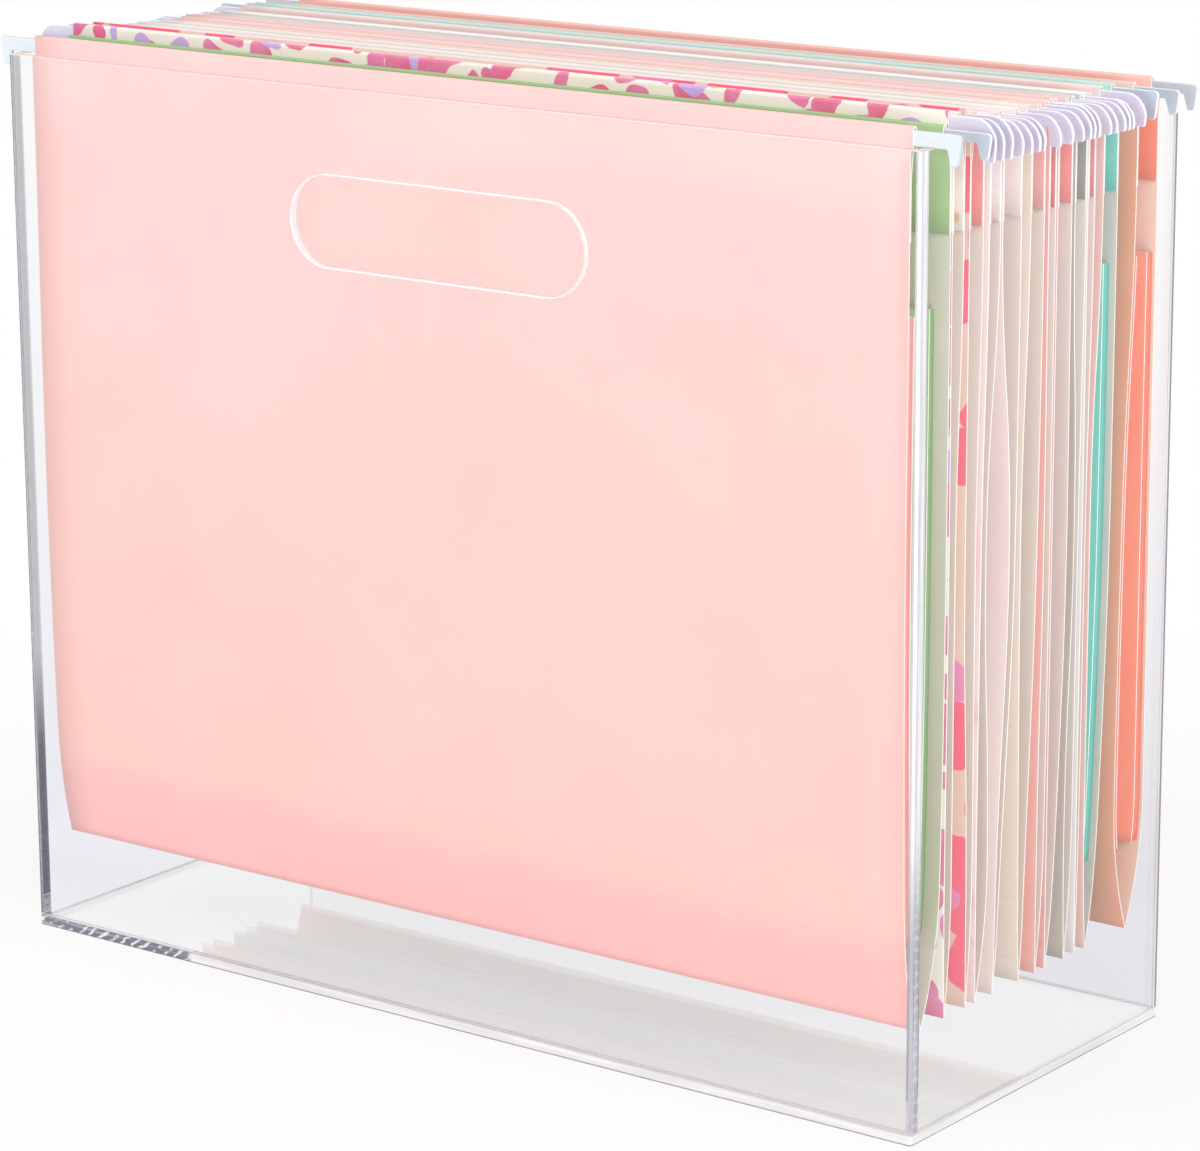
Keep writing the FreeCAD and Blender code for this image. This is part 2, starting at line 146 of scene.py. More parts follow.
class Tree:
    """The node tree of a material or world, with short ways to add and join nodes."""

    def __init__(self, name, family=bpy.data.materials, output="ShaderNodeOutputMaterial"):
        self.owner = family.new(name)
        self.owner.use_nodes = True
        self.nodes = self.owner.node_tree.nodes
        self.links = self.owner.node_tree.links
        self.nodes.clear()
        self.output = self.nodes.new(output)
        self.vector = None

    def add(self, kind, inputs=None, **settings):
        node = self.nodes.new(kind)
        for key, value in settings.items():
            setattr(node, key, value)
        for key, value in (inputs or {}).items():
            self.put(node.inputs[key], value)
        return node

    def put(self, socket, value):
        if isinstance(value, bpy.types.NodeSocket):
            self.links.new(value, socket)
        else:
            socket.default_value = value

    def place(self):
        """Object coordinates, which are metres in the row frame at rest."""
        if self.vector is None:
            self.vector = self.add("ShaderNodeTexCoord").outputs["Object"]
        return self.vector

    def along(self):
        """The three parts of the place, by the names X, Y and Z."""
        return self.add("ShaderNodeSeparateXYZ", {"Vector": self.place()}).outputs

    def sheet(self):
        """Metres along the unfolded sheet."""
        return self.add("ShaderNodeUVMap", uv_map=SHEET_MAP).outputs["UV"]

    def noise(self, scale, detail=2.0, roughness=0.5, vector=None, distortion=0.0, stretch=None):
        vector = vector or self.place()
        if stretch:
            vector = self.add(
                "ShaderNodeMapping", {"Vector": vector, "Scale": stretch}
            ).outputs["Vector"]
        return self.add("ShaderNodeTexNoise", {
            "Vector": vector, "Scale": scale, "Detail": detail,
            "Roughness": roughness, "Distortion": distortion,
        }).outputs["Fac"]

    def cells(self, scale, vector):
        return self.add("ShaderNodeTexVoronoi", {"Vector": vector, "Scale": scale}).outputs

    def band(self, value, low, high, start=0.0, end=1.0):
        """value carried from low..high to start..end, and held there beyond."""
        return self.add("ShaderNodeMapRange", {
            "Value": value, "From Min": low, "From Max": high, "To Min": start, "To Max": end,
        }).outputs["Result"]

    def math(self, operation, first, second=0.0):
        node = self.add("ShaderNodeMath", operation=operation)
        self.put(node.inputs[0], first)
        self.put(node.inputs[1], second)
        return node.outputs[0]

    def mix(self, share, first, second, blend="MIX"):
        node = self.add("ShaderNodeMix", data_type="RGBA", blend_type=blend)
        self.put(node.inputs[0], share)
        self.put(node.inputs[6], first)
        self.put(node.inputs[7], second)
        return node.outputs[2]

    def bump(self, height, distance, strength=1.0, under=None):
        inputs = {"Height": height, "Distance": distance, "Strength": strength}
        if under is not None:
            inputs["Normal"] = under
        return self.add("ShaderNodeBump", inputs).outputs["Normal"]

    def seen(self):
        """1 for rays that look straight, in a mirror or through clear sheet, and 0 for those that light."""
        rays = self.add("ShaderNodeLightPath").outputs
        seen = self.math("MAXIMUM", rays["Is Camera Ray"], rays["Is Glossy Ray"])
        return self.math("MAXIMUM", seen, rays["Is Transmission Ray"])

    def finish(self, shader):
        self.put(self.output.inputs["Surface"], shader.outputs[0])
        return self.owner


def clear_shader(tree, glass, tint):
    """Glass that the lamps and the world shine through."""
    path = tree.add("ShaderNodeLightPath").outputs
    open_way = tree.math("MAXIMUM", path["Is Shadow Ray"], path["Is Diffuse Ray"])
    tinted = tree.add("ShaderNodeBsdfTransparent", {"Color": tint})
    return tree.finish(tree.add("ShaderNodeMixShader", {
        0: open_way, 1: glass.outputs[0], 2: tinted.outputs[0],
    }))


# Clear sheet: its index of refraction, its own tint, and the tint of the light that passes it
ACRYLIC_IOR = 1.49
ACRYLIC_TINT = (0.994, 0.995, 0.996, 1.0)
ACRYLIC_PASSES = (0.98, 0.98, 0.982, 1.0)
# Heights between which the painted shade at a sheet's foot runs out
FOOT_SHADE_HEIGHTS = (0.06, 0.24)


def acrylic(name, mirror, foot=(254, 254, 254)):
    """Clear cast sheet with polished faces and faint waves, which can take painted shade, a cool grey tint,
    at its foot.

    mirror is the strength of what it reflects in red, green and blue.
    """
    tree = Tree(name)
    waves = tree.noise(14.0, 1.0)
    rough = tree.band(tree.noise(220.0, 3.0), 0.35, 0.75, 0.0, 0.02)
    glass = tree.add("ShaderNodeBsdfPrincipled", {
        "Base Color": tree.mix(tree.band(tree.along()["Z"], *FOOT_SHADE_HEIGHTS), rgb(*foot), ACRYLIC_TINT),
        "Roughness": rough, "IOR": ACRYLIC_IOR, "Specular Tint": (*mirror, 1.0), "Transmission Weight": 1.0,
        "Normal": tree.bump(waves, 0.00004),
    })
    return clear_shader(tree, glass, ACRYLIC_PASSES)


# The painted light lines across the painted dark stretch of a cut edge: the way from one to the next, and
# how far a line moves along X for each metre that it rises
LIGHT_LINE_PITCH = 0.0042
LIGHT_LINE_SLANT = 1.3
# How much the mottling bends the lines, in radians of their sine
LIGHT_LINE_SWELL = 9.0
# Where the left end of the box begins and where it is full, along X
LEFT = (0.1, -0.1)


def cut_edge(node, thin, low, look):
    """A sheet's cut and flame-polished edge: pale streaks along it, and a thin painted dark line beside
    each face.

    thin is the axis across the sheet and low its lower face in metres. Over a stretch the core takes
    painted shade, crossed by painted light lines.
    """
    tree = Tree(node + "_edge")
    along = tree.along()
    across = tree.math("DIVIDE", tree.math("SUBTRACT", along[thin], low), WALL * MM)
    streaks = tree.noise(800.0, 2.0, 0.5, stretch=[1.0 if axis == thin else 0.03 for axis in "XYZ"])
    mottle = tree.noise(260.0, 2.0, 0.6, stretch=(0.55, 0.55, 1.0))
    core = tree.mix(tree.band(streaks, 0.38, 0.62), *look.core)
    left = tree.band(along["X"], *LEFT)
    # Painted shade over a stretch of the core, darker at the left end, crossed by painted light lines
    dark = tree.mix(left, rgb(156, 156, 166), rgb(122, 122, 136))
    dark = tree.mix(tree.band(streaks, 0.40, 0.62), dark, rgb(206, 206, 214))
    slant = tree.math("SUBTRACT", along["X"], tree.math("MULTIPLY", along["Z"], LIGHT_LINE_SLANT))
    turn = tree.math("MULTIPLY", slant, 2 * math.pi / LIGHT_LINE_PITCH)
    swell = tree.math("ADD", turn, tree.math("MULTIPLY", mottle, LIGHT_LINE_SWELL))
    lines = tree.band(tree.math("SINE", swell), 0.25, 0.85)
    painted_lines = tree.math("MULTIPLY", lines, tree.band(mottle, 0.36, 0.46))
    dark = tree.mix(tree.math("MULTIPLY", painted_lines, look.mottle), dark, rgb(246, 246, 250))
    core = tree.mix(tree.band(along[look.axis], look.to, look.start), core, dark)
    # Painted shade: a dark line beside each face
    low_line = tree.band(across, look.low_width + 0.05, look.low_width, 0.0, look.low_line)
    high_line = tree.band(across, 0.95 - look.high_width, 1.0 - look.high_width, 0.0, look.high_line)
    line = tree.math("MULTIPLY", tree.math("MAXIMUM", low_line, high_line),
                     tree.band(left, 0.0, 1.0, look.right, 1.0))
    colour = tree.mix(line, core, rgb(122, 123, 134))
    clear_end = tree.math("MULTIPLY", left, tree.band(along[look.axis], look.start, look.to))
    shader = tree.add("ShaderNodeBsdfPrincipled", {
        "Base Color": colour, "Roughness": 0.22, "IOR": ACRYLIC_IOR,
        "Transmission Weight": tree.band(clear_end, 0.0, 1.0, 0.12, look.left_clear),
        "Normal": tree.bump(streaks, 0.00004, 0.4),
    })
    return clear_shader(tree, shader, (0.95, 0.95, 0.955, 1.0))


def bright_rim(name, clearness, *tones):
    """A routed or rounded rim of the sheet, bright and a little frosted, between two tones."""
    tree = Tree(name)
    haze = tree.noise(500.0, 2.0)
    colour = tree.mix(tree.band(haze, 0.35, 0.65), *tones)
    shader = tree.add("ShaderNodeBsdfPrincipled", {
        "Base Color": colour, "Roughness": tree.band(haze, 0.3, 0.7, 0.16, 0.28), "IOR": ACRYLIC_IOR,
        "Transmission Weight": clearness,
    })
    return clear_shader(tree, shader, (0.96, 0.963, 0.975, 1.0))


# Heights between which a vertical edge turns dark with painted shade, from its light stretch down
EDGE_FOOT = (0.085, 0.055)


def film(name, share, left_high=None, left_low=None, right_low=None):
    """A thin pale film, as on a cemented face, or as painted light where a rounded corner gathers the
    light.

    At the box's front it can take other tones high and low at the left, and low at the right, which paint
    shade.
    """
    tree = Tree(name)
    along = tree.along()
    haze = tree.noise(500.0, 2.0)
    pale = tree.mix(tree.band(haze, 0.35, 0.65), rgb(255, 255, 255), rgb(244, 240, 248))
    foot = tree.band(along["Z"], *EDGE_FOOT)
    left = tree.math("MULTIPLY", tree.band(along["X"], *LEFT), tree.band(along["Y"], 0.0, -0.05))
    colour = tree.mix(left, tree.mix(foot, pale, right_low or pale),
                      tree.mix(foot, left_high or pale, left_low or pale))
    shader = tree.add("ShaderNodeBsdfPrincipled", {
        "Base Color": colour, "Roughness": tree.band(haze, 0.3, 0.7, 0.2, 0.3), "Alpha": share,
    })
    return tree.finish(shader)


def coated_steel(name, colour, painted_edge_tone):
    """Flat steel strip in a soft enamel coat, with painted light on the faces where the coat rounds the
    edges: a painted highlight, and painted shade instead on the white rod.
    """
    tree = Tree(name)
    speckle = tree.noise(2600.0, 2.0)
    cloud = tree.noise(55.0, 3.0)
    facing = tree.add("ShaderNodeSeparateXYZ", {
        "Vector": tree.add("ShaderNodeTexCoord").outputs["Normal"],
    }).outputs["Y"]
    # Painted light on the edge faces, which turn away from Y
    rim = tree.band(tree.math("ABSOLUTE", facing), 0.98, 0.7)
    body = tree.mix(tree.band(cloud, 0.3, 0.7, 0.0, 0.35), colour, painted_edge_tone)
    body = tree.mix(rim, body, painted_edge_tone)
    body = tree.mix(tree.band(speckle, 0.45, 0.7, 0.0, 0.10), body, (1.0, 1.0, 1.0, 1.0))
    shader = tree.add("ShaderNodeBsdfPrincipled", {
        "Base Color": body, "Roughness": tree.band(cloud, 0.3, 0.7, 0.28, 0.42),
        "IOR": 1.5, "Coat Weight": 0.35, "Coat Roughness": 0.18,
        "Normal": tree.bump(speckle, 0.00003, 0.6),
    })
    return tree.finish(shader)


# Heights between which a card takes a painted highlight over its rod, and how strong it is
CROWN_HIGHLIGHT_HEIGHTS = (0.2610, 0.2630)
CROWN_HIGHLIGHT = 0.5


def paper(tree, colour, fibre=0.05, rough=(0.5, 0.66), bump=0.00003, pale=CROWN_HIGHLIGHT):
    """The shader of a card's face: fibres, faint cockle and soft mottling over a colour or print.

    Where the sheet bends over its rod it takes a painted highlight.
    """
    sheet = tree.sheet()
    # Painted highlight on the crown over the rod, mixed towards white
    painted_highlight = tree.band(tree.along()["Z"], *CROWN_HIGHLIGHT_HEIGHTS, 0.0, pale)
    colour = tree.mix(painted_highlight, colour, (1.0, 0.98, 0.96, 1.0))
    mottle = tree.noise(26.0, 4.0, 0.6, sheet)
    grain = tree.noise(900.0, 3.0, 0.65, sheet, stretch=(1.0, 2.6, 1.0))
    cockle = tree.noise(9.0, 1.5, 0.5, sheet)
    colour = tree.mix(tree.band(mottle, 0.3, 0.75, 0.0, fibre * 1.6), colour, (1.0, 0.97, 0.92, 1.0))
    colour = tree.mix(tree.band(grain, 0.35, 0.7, 0.0, fibre), colour, (0.62, 0.55, 0.5, 1.0), "MULTIPLY")
    normal = tree.bump(cockle, 0.0006, 0.35)
    return tree.add("ShaderNodeBsdfPrincipled", {
        "Base Color": colour, "Roughness": tree.band(grain, 0.3, 0.7, *rough),
        "Specular IOR Level": 0.35, "Normal": tree.bump(grain, bump, 0.8, normal),
    })


def plain_print(tree, colour):
    """One even ink, which takes a painted highlight over the rod."""
    return colour


def dyed_print(tree, colour):
    """One even ink, which takes only a faint painted highlight over the rod."""
    return colour


# Heights of the leaf's tones, which paint shade down it and light on its brow: its middle, its brow, its
# foot, its clouds and its hem
LEAF_MIDDLE = (0.066, 0.240)
LEAF_BROW = (0.238, 0.256)
LEAF_FOOT = (0.057, 0.047)
LEAF_CLOUDS = (0.05, 0.2)
LEAF_HEM = (0.2600, 0.2625)


def ink_with_painted_shade(tree, low, middle, high, brow, other, hem):
    """One ink with painted shade that deepens it down the leaf, most of all below its score line, painted
    light on its brow, and a deeper tone over the hem.
    """
    height = tree.along()["Z"]
    cloud = tree.noise(7.0, 2.0, 0.5, tree.sheet())
    drifting = tree.math("ADD", height, tree.band(cloud, 0.3, 0.7, -0.006, 0.006))
    clouds = tree.math("MULTIPLY", tree.band(cloud, 0.4, 0.65), tree.band(height, *LEAF_CLOUDS))
    # Painted shade deepens the ink down the leaf, and painted light lightens its brow
    colour = tree.mix(tree.band(drifting, *LEAF_MIDDLE), middle, high)
    colour = tree.mix(tree.band(drifting, *LEAF_BROW), colour, brow)
    colour = tree.mix(tree.band(height, *LEAF_FOOT), colour, low)
    colour = tree.mix(clouds, colour, other)
    return tree.mix(tree.band(height, *LEAF_HEM), colour, hem)


def spots_print(tree, ground, inks, scale):
    """Rounded patches of a few inks on a pale ground, scale of them to the metre."""
    sheet = tree.sheet()
    wobble = tree.add("ShaderNodeTexNoise", {"Vector": sheet, "Scale": 70.0, "Detail": 1.0}).outputs
    shift = tree.add("ShaderNodeVectorMath", {0: wobble["Color"], "Scale": 0.011}, operation="SCALE")
    moved = tree.add("ShaderNodeVectorMath", {0: sheet, 1: shift.outputs[0]}, operation="ADD")
    cell = tree.cells(scale, moved.outputs[0])
    patch = tree.band(cell["Distance"], 0.61, 0.58)
    pick = tree.add("ShaderNodeSeparateColor", {0: cell["Color"]}).outputs
    wash = tree.noise(95.0, 2.0, 0.5, sheet)
    ink = tree.mix(tree.band(wash, 0.40, 0.62), inks[0], inks[1])
    ink = tree.mix(tree.band(pick[0], 0.86, 0.88), ink, inks[2])
    patch = tree.math("MULTIPLY", patch, tree.band(pick[1], 0.18, 0.19))
    return tree.mix(patch, ground, ink)


def ticks_print(tree, ground, ink):
    """A few small ticks of one ink, far apart."""
    cell = tree.cells(30.0, tree.sheet())
    return tree.mix(tree.band(cell["Distance"], 0.10, 0.08), ground, ink)


def wash_print(tree, ground, ink, deep):
    """Loose wet washes of ink with a few deeper centres."""
    sheet = tree.sheet()
    cloud = tree.noise(13.0, 5.0, 0.62, sheet, 1.2)
    heart = tree.noise(34.0, 4.0, 0.6, sheet, 0.8)
    colour = tree.mix(tree.band(cloud, 0.53, 0.66), ground, ink)
    hearts = tree.math("MULTIPLY", tree.band(cloud, 0.6, 0.72), tree.band(heart, 0.5, 0.7))
    return tree.mix(hearts, colour, deep)


CREAM = rgb(255, 247, 237)
PINK_INK = rgb(240, 98, 148)
ROSE_INK = rgb(240, 128, 182)
CRIMSON_INK = rgb(255, 70, 112)
LILAC_INK = rgb(208, 172, 240)
GOLD_INK = rgb(230, 168, 78)

# How strong the painted highlight over the rod is on the prints that take less of it
CROWN_HIGHLIGHT_BY_PRINT = {spots_print: 0.04, ink_with_painted_shade: 0.04, dyed_print: 0.10, wash_print: 0.25}


def printed(name, style, *colours):
    """A printed and coated face of a card."""
    tree = Tree(name)
    return tree.finish(paper(tree, style(tree, *colours), pale=CROWN_HIGHLIGHT_BY_PRINT.get(style, CROWN_HIGHLIGHT)))


# How much painted shade darkens a card's bare inside towards its fold, as shares of red, green and blue,
# and the heights between which it does
INSIDE_PAINTED_SHADE = (0.86, 0.82, 0.77)
INSIDE_SHADE_HEIGHTS = (0.07, 0.235)
# The green inside takes more painted shade, down to the bare foot of its card
GREEN_PAINTED_SHADE = (0.68, 0.74, 0.60)
GREEN_FOOT = rgb(206, 197, 175)
FOOT = (0.056, 0.048)


def bare_card(name, colour, deeper=INSIDE_PAINTED_SHADE, foot=None):
    """The uncoated inside of a card, with painted shade towards its fold, or its cut edge."""
    tree = Tree(name)
    height = tree.along()["Z"]
    deep = tuple(value * share for value, share in zip(colour, deeper)) + (1.0,)
    # Painted shade towards the fold
    shaded = tree.mix(tree.band(height, *INSIDE_SHADE_HEIGHTS), deep, colour)
    if foot:
        shaded = tree.mix(tree.band(height, *FOOT), shaded, foot)
    return tree.finish(paper(tree, shaded, 0.07, (0.72, 0.86), 0.00005))


SPOTS = (spots_print, CREAM, (PINK_INK, ROSE_INK, LILAC_INK), 118.0)
WASHES = (wash_print, rgb(250, 238, 236), rgb(252, 180, 192), rgb(236, 84, 106))
# For each card: the print of its front leaf, of its back leaf, and the bare inside
LOOKS = {
    1: ((ink_with_painted_shade, rgb(255, 187, 184), rgb(254, 198, 188), rgb(255, 200, 195), rgb(255, 214, 210),
         rgb(255, 203, 198), rgb(255, 200, 197)),
        (dyed_print, rgb(156, 198, 124)), rgb(206, 212, 186)),
    2: (SPOTS, (ticks_print, rgb(252, 244, 232), GOLD_INK), rgb(226, 208, 196)),
    3: ((spots_print, rgb(240, 200, 182), (CRIMSON_INK, CRIMSON_INK, ROSE_INK), 66.0),
        (plain_print, rgb(252, 146, 138)), rgb(232, 214, 204)),
    4: (WASHES, WASHES, rgb(226, 206, 198)),
    5: ((ticks_print, rgb(243, 218, 213), rgb(232, 110, 130)), (plain_print, rgb(252, 232, 229)),
        rgb(228, 210, 201)),
    6: ((plain_print, rgb(236, 218, 200)), (plain_print, rgb(247, 165, 160)), rgb(230, 212, 200)),
    7: ((plain_print, rgb(246, 172, 162)), (plain_print, rgb(224, 116, 120)), rgb(234, 212, 204)),
    8: ((plain_print, rgb(244, 168, 162)), (plain_print, rgb(250, 138, 136)), rgb(230, 208, 202)),
    9: ((plain_print, rgb(182, 174, 160)), (plain_print, rgb(150, 147, 140)), rgb(222, 212, 206)),
    10: ((plain_print, rgb(248, 240, 238)), (plain_print, rgb(232, 130, 132)), rgb(232, 210, 204)),
    11: ((plain_print, rgb(236, 192, 184)), (plain_print, rgb(93, 211, 196)), rgb(194, 200, 190)),
    12: ((plain_print, rgb(235, 148, 108)), (plain_print, rgb(255, 120, 76)), rgb(246, 200, 178)),
}
# How painted shade darkens the inside of a card, where it isn't as on the others
INSIDES = {1: (GREEN_PAINTED_SHADE, GREEN_FOOT)}
# For each pocket's finish: its panel, and its gussets in a darker copy of its colour, painted shade
POCKET_COLOURS = {
    "pocket_salmon": (rgb(252, 176, 168), rgb(250, 160, 152)),
    "pocket_green": (rgb(142, 190, 118), rgb(124, 174, 98)),
    "pocket_teal": (rgb(88, 214, 198), rgb(62, 198, 184)),
    "pocket_coral": (rgb(255, 130, 88), rgb(250, 110, 70)),
}
# For each rod's finish: its coat, and its painted tone at the edges: a painted highlight on most, painted
# shade on the white rod
ROD_COLOURS = {
    "rod_white": (rgb(224, 232, 239), rgb(204, 213, 223)),
    "rod_blue_grey": (rgb(196, 206, 219), rgb(240, 243, 248)),
    "rod_lavender": (rgb(224, 219, 242), rgb(252, 252, 255)),
}
# The rods that aren't lavender
ROD_SLOTS = {
    (1, "front"): "rod_white",
    (1, "back"): "rod_blue_grey",
    (11, "back"): "rod_blue_grey",
    (12, "front"): "rod_blue_grey",
    (12, "back"): "rod_blue_grey",
}


# Meshes

def put_in_scene(name, data):
    item = bpy.data.objects.new(name, data)
    bpy.context.scene.collection.objects.link(item)
    return item


def new_mesh(name, materials):
    mesh = bpy.data.meshes.new(name)
    for material in materials:
        mesh.materials.append(material)
    return mesh


def new_piece(name, points, faces, materials, slots=None, smooth=None, sheet=None):
    """A piece from points in mm. slots, smooth and sheet give each face's material, shading and UVs."""
    mesh = new_mesh(name, materials)
    mesh.from_pydata([tuple(value * MM for value in point) for point in points], [], faces)
    if slots:
        mesh.polygons.foreach_set("material_index", slots)
    mesh.polygons.foreach_set("use_smooth", smooth or [False] * len(faces))
    if sheet:
        layer = mesh.uv_layers.new(name=SHEET_MAP)
        layer.data.foreach_set("uv", [value for corner in sheet for value in corner])
    mesh.validate()
    mesh.update()
    return put_in_scene(name, mesh)


def piece_of(grid, name, materials):
    """A piece from an edited grid, which is used up."""
    mesh = new_mesh(name, materials)
    grid.to_mesh(mesh)
    grid.free()
    return put_in_scene(name, mesh)


def settle(piece, body, nodes):
    """The piece rides on its body and stands for its CAD nodes."""
    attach(piece, body)
    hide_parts(*nodes)


def apply_modifiers(piece):
    """The piece's modifiers made into its mesh."""
    depsgraph = bpy.context.evaluated_depsgraph_get()
    mesh = bpy.data.meshes.new_from_object(piece.evaluated_get(depsgraph))
    piece.modifiers.clear()
    piece.data = mesh


# The clear box

# A sheet's materials, by their place in its list
FACE, CUT, SLOT, TOP, GLUED, CORNER_FILM, END_FILM = range(7)
# How far a sheet stands inside its CAD node, so that cemented sheets don't share a face
JOINT_GAP = 0.02
# A sheet's small edges, its rounded corners, and the chamfer of its hand slot
EDGE = 0.25
CORNER = 1.0
CHAMFER = 0.35
# The least part of a face's normal along an axis, for the face to be square to it and for it to face it
FLAT = 0.9999
FACING = 0.3
# A rounded corner carries its film up to this part of its turn, as the share across the sheet of its normal
FILM_TURN = 0.6
# The sides of the hand slot face Y less than SLOT_SIDE_TURN, and its upper side faces down more than
# SLOT_TOP_TURN
SLOT_TOP_TURN = 0.97
SLOT_SIDE_TURN = 0.9
# Places closer than this are the same
NEAR = 1e-3


def stadium(length, height, centre_z, y, steps=20):
    """A long loop with round ends, in the XZ plane."""
    radius = height / 2
    half = length / 2 - radius
    loop = []
    for side, start in ((1, -90), (-1, 90)):
        for step in range(steps + 1):
            angle = math.radians(start + 180 * step / steps)
            loop.append((side * half + radius * math.cos(angle), y, centre_z + radius * math.sin(angle)))
    return loop


def slot_cutter(y_low, y_high):
    """The hand slot's volume, with a small chamfer towards both faces."""
    centre_z = RIM - SLOT_BELOW_RIM
    wide = CHAMFER + 1
    rings = []
    for y, grow in ((y_low - 1, wide), (y_low + CHAMFER, 0), (y_high - CHAMFER, 0), (y_high + 1, wide)):
        rings.append(stadium(SLOT_LENGTH + 2 * grow, SLOT_HEIGHT + 2 * grow, centre_z, y))
    count = len(rings[0])
    points = [point for ring in rings for point in ring]
    faces = []
    for ring in range(3):
        for n in range(count):
            following = (n + 1) % count
            faces.append(((ring + 1) * count + n, (ring + 1) * count + following,
                          ring * count + following, ring * count + n))
    faces.append(tuple(range(count)))
    faces.append(tuple(range(3 * count, 4 * count))[::-1])
    return new_piece("cutter", points, faces, [clear], smooth=[True] * (3 * count) + [False, False])


def sheet_place(normal, thin):
    """Which of a sheet's materials a face takes: thin is the axis across the sheet."""
    if abs(normal[thin]) > FLAT:
        return FACE
    if thin == 2:
        return CUT
    if normal.z > FACING:
        return TOP
    if thin == 1 and abs(normal.y) > FILM_TURN:
        return CORNER_FILM
    if thin == 0 and normal.y < -FACING:
        return END_FILM
    return GLUED if thin == 0 or normal.z < -FACING else CUT


def sheet_piece(name, corners, glass, look):
    """A sheet with polished, slightly rounded edges, standing a hair inside its CAD node.

    Its broad faces are clear, its top edge has a bright rim tinted with a painted reflection, its glued
    edges are nearly clear, its rounded corners and the front ends of the walls carry a film of painted
    light and shade, and its other edges show their cut. corners says at which of its faces its upright
    edges are rounded.
    """
    low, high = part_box(name)
    low = [value / MM + JOINT_GAP for value in low]
    high = [value / MM - JOINT_GAP for value in high]
    thin = min(range(3), key=lambda n: high[n] - low[n])
    grid = bmesh.new()
    bmesh.ops.create_cube(grid, size=1.0)
    for vertex in grid.verts:
        vertex.co = [(low[n] if vertex.co[n] < 0 else high[n]) * MM for n in range(3)]
    outer_y = {"all": (low[1], high[1]), "front": (low[1],), "back": (high[1],), "none": ()}[corners]
    outer = []
    for edge in grid.edges:
        first, last = (vertex.co / MM for vertex in edge.verts)
        if abs(first.z - last.z) > NEAR and any(abs(first.y - y) < NEAR for y in outer_y):
            outer.append(edge)
    if outer:
        bmesh.ops.bevel(grid, geom=outer, offset=CORNER * MM, segments=5, profile=0.5, affect="EDGES")
    sharp = [edge for edge in grid.edges if edge.calc_face_angle(0.0) > math.radians(40)]
    bmesh.ops.bevel(grid, geom=sharp, offset=EDGE * MM, segments=2, profile=0.5, affect="EDGES")
    for face in grid.faces:
        face.smooth = max(abs(value) for value in face.normal) < FLAT
        face.material_index = sheet_place(face.normal, thin)
    cut = cut_edge(name, "XYZ"[thin], low[thin] * MM, look)
    return piece_of(grid, name + "_sheet", (glass, cut, slot_rim, top_rim, glued, corner_film, end_film))


def cut_slot(piece, node):
    low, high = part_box(node)
    cutter = slot_cutter(low.y / MM, high.y / MM)
    modifier = piece.modifiers.new("slot", "BOOLEAN")
    modifier.operation = "DIFFERENCE"
    modifier.solver = "EXACT"
    modifier.object = cutter
    bpy.context.view_layer.update()
    apply_modifiers(piece)
    bpy.data.objects.remove(cutter)
    for face in piece.data.polygons:
        level = face.center.z / MM - RIM + SLOT_BELOW_RIM
        if abs(level) < SLOT_HEIGHT and abs(face.normal.y) < SLOT_SIDE_TURN:
            face.material_index = TOP if face.normal.z < -SLOT_TOP_TURN else SLOT


DIM_MIRROR = (0.5, 0.5, 0.5)
clear = acrylic("clear_acrylic", DIM_MIRROR)
clear_base = acrylic("clear_acrylic_base", (0.23, 0.28, 0.23))
clear_front = acrylic("clear_acrylic_front", (1.0, 1.0, 1.0))
# The left wall and the back panel take painted shade, a cool grey tint, at their foot
clear_left = acrylic("clear_acrylic_left", DIM_MIRROR, (243, 243, 250))
clear_back = acrylic("clear_acrylic_back", DIM_MIRROR, (232, 233, 241))
slot_rim = bright_rim("clear_slot_rim", 0.15, rgb(255, 255, 255), rgb(247, 243, 250))
# The top rims are tinted pink, a painted reflection of the pink cards behind them
top_rim = bright_rim("clear_top_rim", 0.25, rgb(255, 230, 225), rgb(250, 224, 222))
glued = film("clear_joint", 0.2)
# The corner and end films paint light where the sheet gathers it, and paint shade in darker tones at the
# left and low down
DARK_CORNER = rgb(116, 116, 132)
corner_film = film("clear_corner_film", 0.7, DARK_CORNER, DARK_CORNER, rgb(178, 178, 188))
end_film = film("clear_end_film", 0.65, rgb(232, 233, 238), rgb(112, 112, 126), rgb(196, 196, 204))
# An edge's look: the two tones of its core, the axis and the span over which the core takes painted shade,
# the strength of its painted light lines, the strength and width of the painted dark line beside its lower
# and its higher face, how strong these are at the right end, and how clear the left end is
EdgeLook = namedtuple(
    "EdgeLook", "core axis start to mottle low_line low_width high_line high_width right left_clear"
)
WHITE_CORE = (rgb(255, 255, 255), rgb(238, 238, 243))
PALE_CORE = (rgb(244, 245, 248), rgb(222, 224, 230))
BASE_LOOK = EdgeLook(WHITE_CORE, "X", -0.0970, -0.0950, 0.9, 0.85, 0.13, 0.25, 0.10, 0.9, 0.12)
FRONT_LOOK = EdgeLook(PALE_CORE, "Z", *EDGE_FOOT[::-1], 0.3, 0.9, 0.28, 0.45, 0.10, 0.3, 0.75)
BACK_LOOK = EdgeLook(PALE_CORE, "Z", -0.020, -0.010, 0.0, 0.35, 0.10, 0.9, 0.55, 1.0, 0.75)
WALL_LOOK = EdgeLook(PALE_CORE, "Z", -0.020, -0.010, 0.0, 0.3, 0.10, 0.3, 0.10, 1.0, 0.12)
